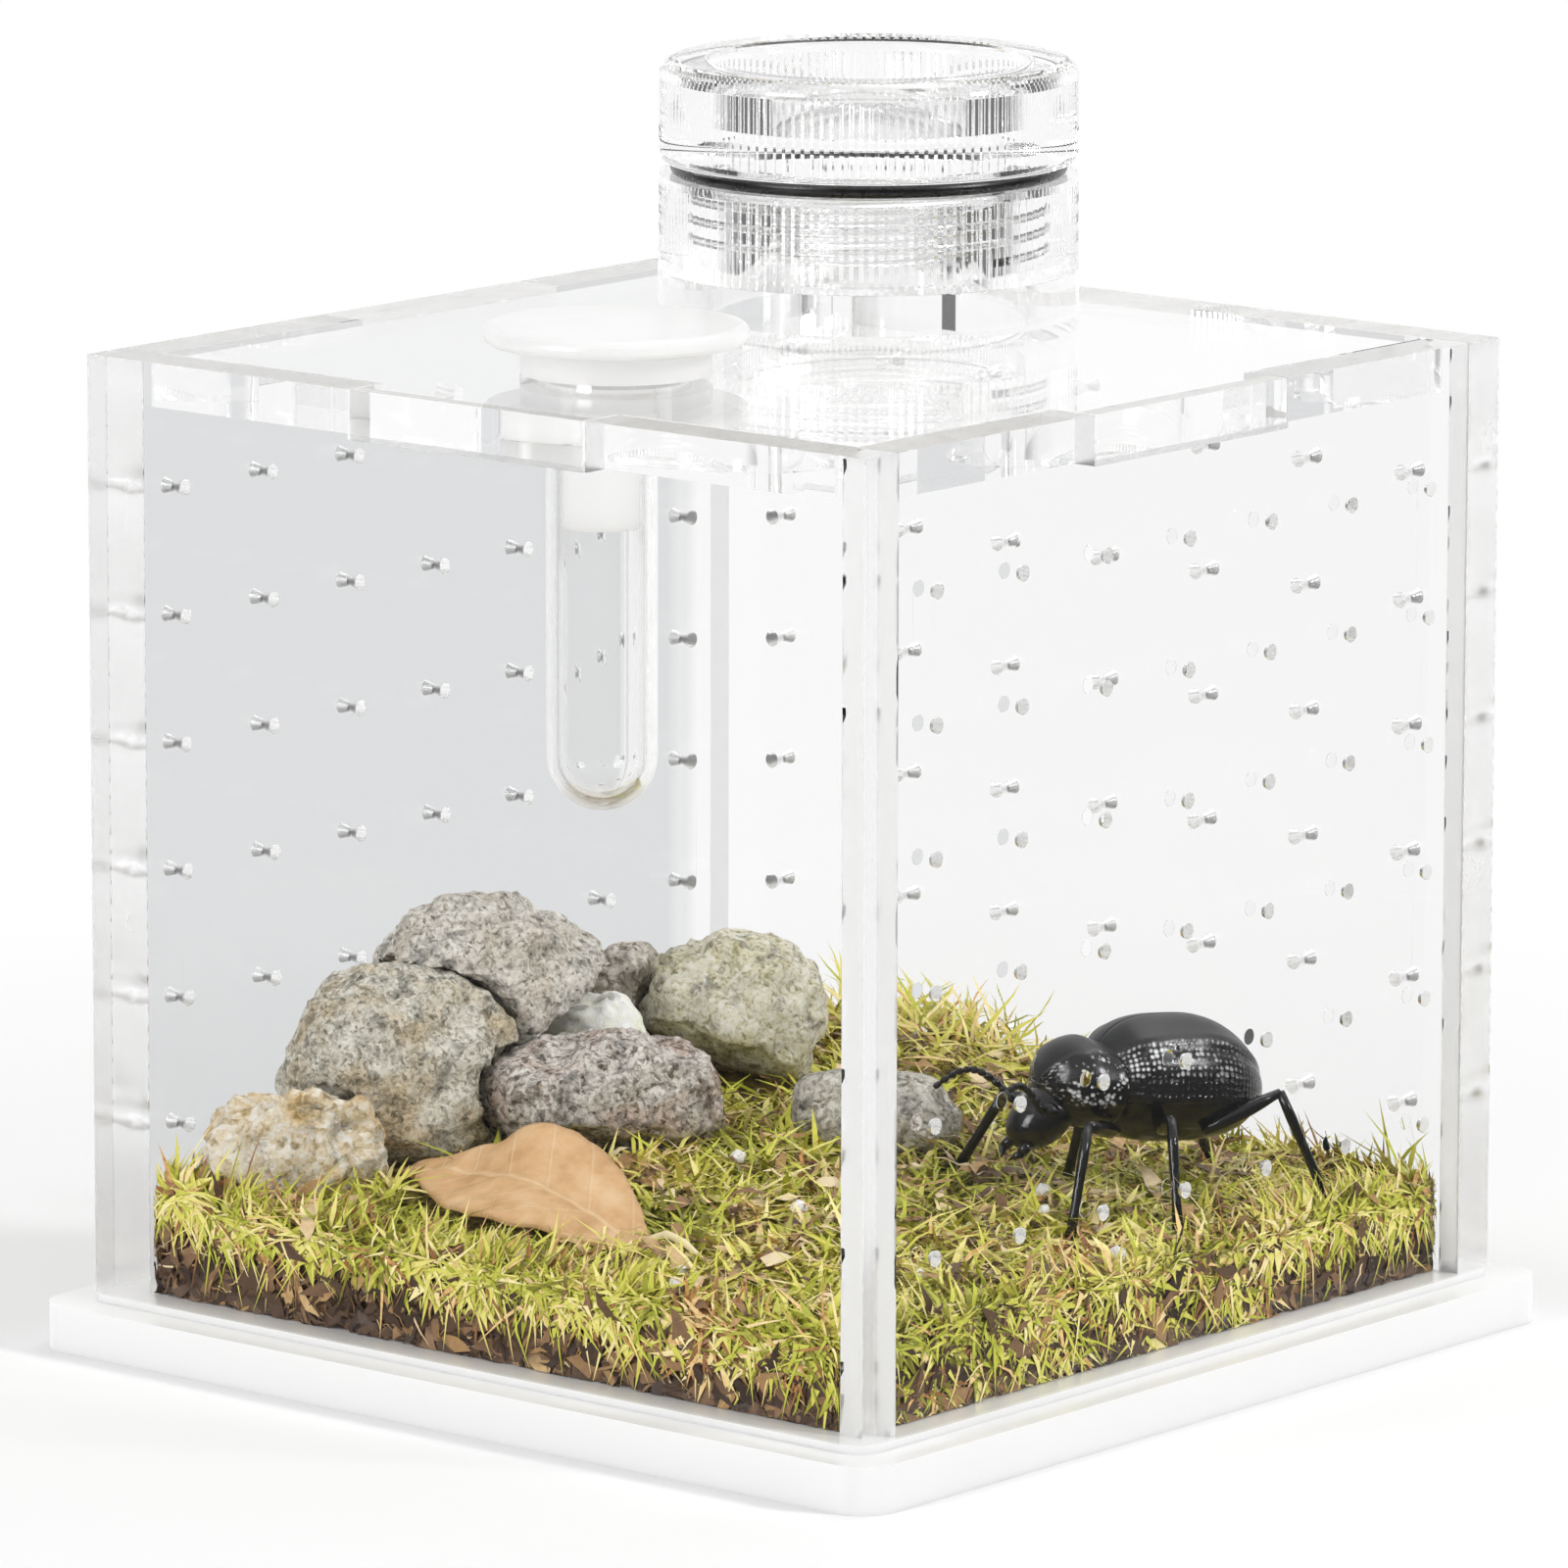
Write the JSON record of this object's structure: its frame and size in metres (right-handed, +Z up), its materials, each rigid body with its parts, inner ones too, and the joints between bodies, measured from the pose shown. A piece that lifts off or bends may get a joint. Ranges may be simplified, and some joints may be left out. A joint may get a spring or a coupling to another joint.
{
  "type": "acrylic terrarium",
  "caption": "Clear acrylic cube terrarium on a white base, with a lift-off tabbed lid, a screw-capped feeding port, a hanging water tube and a moss and stone landscape with a beetle.",
  "frame": {"origin": "centre of the base plate's underside", "axes": "+Z up through the lid, -Y out through the plain front wall, +X to the right seen from the front"},
  "size_m": [0.109, 0.109, 0.127],
  "materials": {
    "white_acrylic": "milky white cast acrylic, polished",
    "clear_acrylic": "clear cast acrylic plate, polished faces and laser-cut edges",
    "port_plastic": "clear moulded plastic with grip ribs",
    "seal_rubber": "black glossy seal ring",
    "stopper_plastic": "translucent white soft plastic",
    "tube_glass": "clear test-tube glass",
    "litter": "damp brown bark litter and moss roots",
    "moss": "dried star moss, lime to olive",
    "stone_purple": "purple-grey with pale specks",
    "stone_tan": "rough cream and tan",
    "stone_olive": "olive grey, angular",
    "stone_blue": "blue grey, pitted",
    "stone_grey": "grey with a tan side",
    "stone_pale": "pale greenish white",
    "stone_dark": "dark brown",
    "stone_top": "dark slate grey",
    "leaf": "dry tan leaf",
    "beetle_shell": "glossy black with rows of fine pits",
    "beetle_limb": "glossy black"
  },
  "bodies": {
    "box": {"base_plate": "white_acrylic", "floor_panel": "white_acrylic", "front_wall": "clear_acrylic", "rear_wall": "clear_acrylic", "left_wall": "clear_acrylic", "right_wall": "clear_acrylic", "litter_bed": "litter", "moss_carpet": "moss", "stone_speckled": "stone_purple", "stone_tan": "stone_tan", "stone_olive": "stone_olive", "stone_blue": "stone_blue", "stone_grey": "stone_grey", "stone_pale": "stone_pale", "stone_dark": "stone_dark", "stone_top": "stone_top", "dry_leaf": "leaf", "beetle_wing_left": "beetle_shell", "beetle_wing_right": "beetle_shell", "beetle_belly": "beetle_limb", "beetle_thorax": "beetle_shell", "beetle_head": "beetle_shell", "beetle_feeler_left": "beetle_limb", "beetle_feeler_right": "beetle_limb", "beetle_leg_front_left": "beetle_limb", "beetle_leg_mid_left": "beetle_limb", "beetle_leg_hind_left": "beetle_limb", "beetle_leg_front_right": "beetle_limb", "beetle_leg_mid_right": "beetle_limb", "beetle_leg_hind_right": "beetle_limb"},
    "lid": {"lid_panel": "clear_acrylic", "port_collar": "port_plastic"},
    "seal": {"port_ring": "seal_rubber"},
    "cap": {"port_cap": "port_plastic"},
    "feeder": {"tube_stopper": "stopper_plastic"},
    "tube": {"water_tube": "tube_glass"}
  },
  "joints": [
    {"name": "lid_lift", "type": "slide", "parent": "box", "child": "lid", "axis": [0, 0, 1], "range_m": [0, 0.06]},
    {"name": "cap_rise", "type": "slide", "parent": "lid", "child": "seal", "axis": [0, 0, 1], "range_m": [0, 0.0081]},
    {"name": "cap_turn", "type": "hinge", "parent": "seal", "child": "cap", "pos_m": [-0.0097, 0.023, 0.1168], "axis": [0, 0, 1], "range_deg": [0, 1440]},
    {"name": "feeder_lift", "type": "slide", "parent": "lid", "child": "feeder", "axis": [0, 0, 1], "range_m": [0, 0.045]},
    {"name": "tube_pull", "type": "slide", "parent": "feeder", "child": "tube", "axis": [0, 0, -1], "range_m": [0, 0.01]}
  ],
  "couplings": [
    {"joint": "cap_rise", "follows": "cap_turn", "m_per_rad": 0.00031831}
  ]
}
